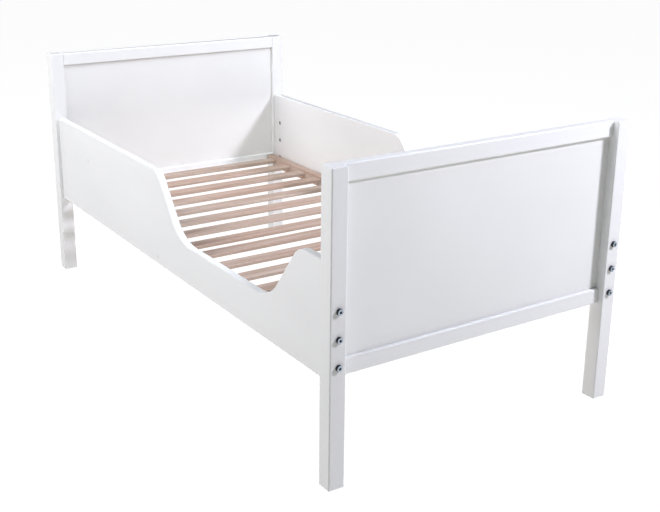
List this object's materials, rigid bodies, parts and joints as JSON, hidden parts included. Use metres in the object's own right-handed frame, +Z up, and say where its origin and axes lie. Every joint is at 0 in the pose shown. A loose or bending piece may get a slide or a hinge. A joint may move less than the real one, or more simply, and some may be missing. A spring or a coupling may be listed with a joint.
{
  "type": "toddler bed",
  "caption": "White wooden toddler bed: panelled ends, side boards with a sloped climb-in cut-out, and a slatted base that lifts out in two halves.",
  "frame": {"origin": "on the floor, under the middle of the bed", "axes": "+X across the bed to the right as seen from the foot, +Y along the bed from foot to head, +Z up"},
  "size_m": [0.77, 1.512, 0.656],
  "materials": {
    "white_lacquered_wood": "satin white lacquer on solid wood",
    "white_lacquered_panel": "satin white lacquer on thin board",
    "bare_wood": "bare planed wood, pinkish tan",
    "dowel_wood": "bare turned wood",
    "zinc_plated_steel": "bright zinc plate"
  },
  "bodies": {
    "bed_frame": {"foot_left_post": "white_lacquered_wood", "foot_right_post": "white_lacquered_wood", "head_left_post": "white_lacquered_wood", "head_right_post": "white_lacquered_wood", "foot_top_rail": "white_lacquered_wood", "foot_bottom_rail": "white_lacquered_wood", "head_top_rail": "white_lacquered_wood", "head_bottom_rail": "white_lacquered_wood", "foot_panel": "white_lacquered_panel", "head_panel": "white_lacquered_panel", "left_side_board": "white_lacquered_wood", "right_side_board": "white_lacquered_wood", "left_ledge": "bare_wood", "right_ledge": "bare_wood", "foot_left_bolts": "zinc_plated_steel", "foot_right_bolts": "zinc_plated_steel", "head_left_bolts": "zinc_plated_steel", "head_right_bolts": "zinc_plated_steel", "foot_left_barrel_nuts": "zinc_plated_steel", "foot_right_barrel_nuts": "zinc_plated_steel", "head_left_barrel_nuts": "zinc_plated_steel", "head_right_barrel_nuts": "zinc_plated_steel", "foot_dowels": "dowel_wood", "head_dowels": "dowel_wood", "left_ledge_screws": "zinc_plated_steel", "right_ledge_screws": "zinc_plated_steel"},
    "head_base_half": {"head_left_base_rail": "bare_wood", "head_right_base_rail": "bare_wood", "head_slat_1": "bare_wood", "head_slat_2": "bare_wood", "head_slat_3": "bare_wood", "head_slat_4": "bare_wood", "head_slat_5": "bare_wood", "head_slat_6": "bare_wood", "head_slat_7": "bare_wood", "head_slat_8": "bare_wood"},
    "foot_base_half": {"foot_left_base_rail": "bare_wood", "foot_right_base_rail": "bare_wood", "foot_slat_1": "bare_wood", "foot_slat_2": "bare_wood", "foot_slat_3": "bare_wood", "foot_slat_4": "bare_wood", "foot_slat_5": "bare_wood", "foot_slat_6": "bare_wood", "foot_slat_7": "bare_wood", "foot_slat_8": "bare_wood"}
  },
  "joints": [
    {"name": "head_base_lift", "type": "slide", "parent": "bed_frame", "child": "head_base_half", "axis": [0, 0, 1], "range_m": [0, 0.42]},
    {"name": "foot_base_lift", "type": "slide", "parent": "bed_frame", "child": "foot_base_half", "axis": [0, 0, 1], "range_m": [0, 0.42]}
  ]
}
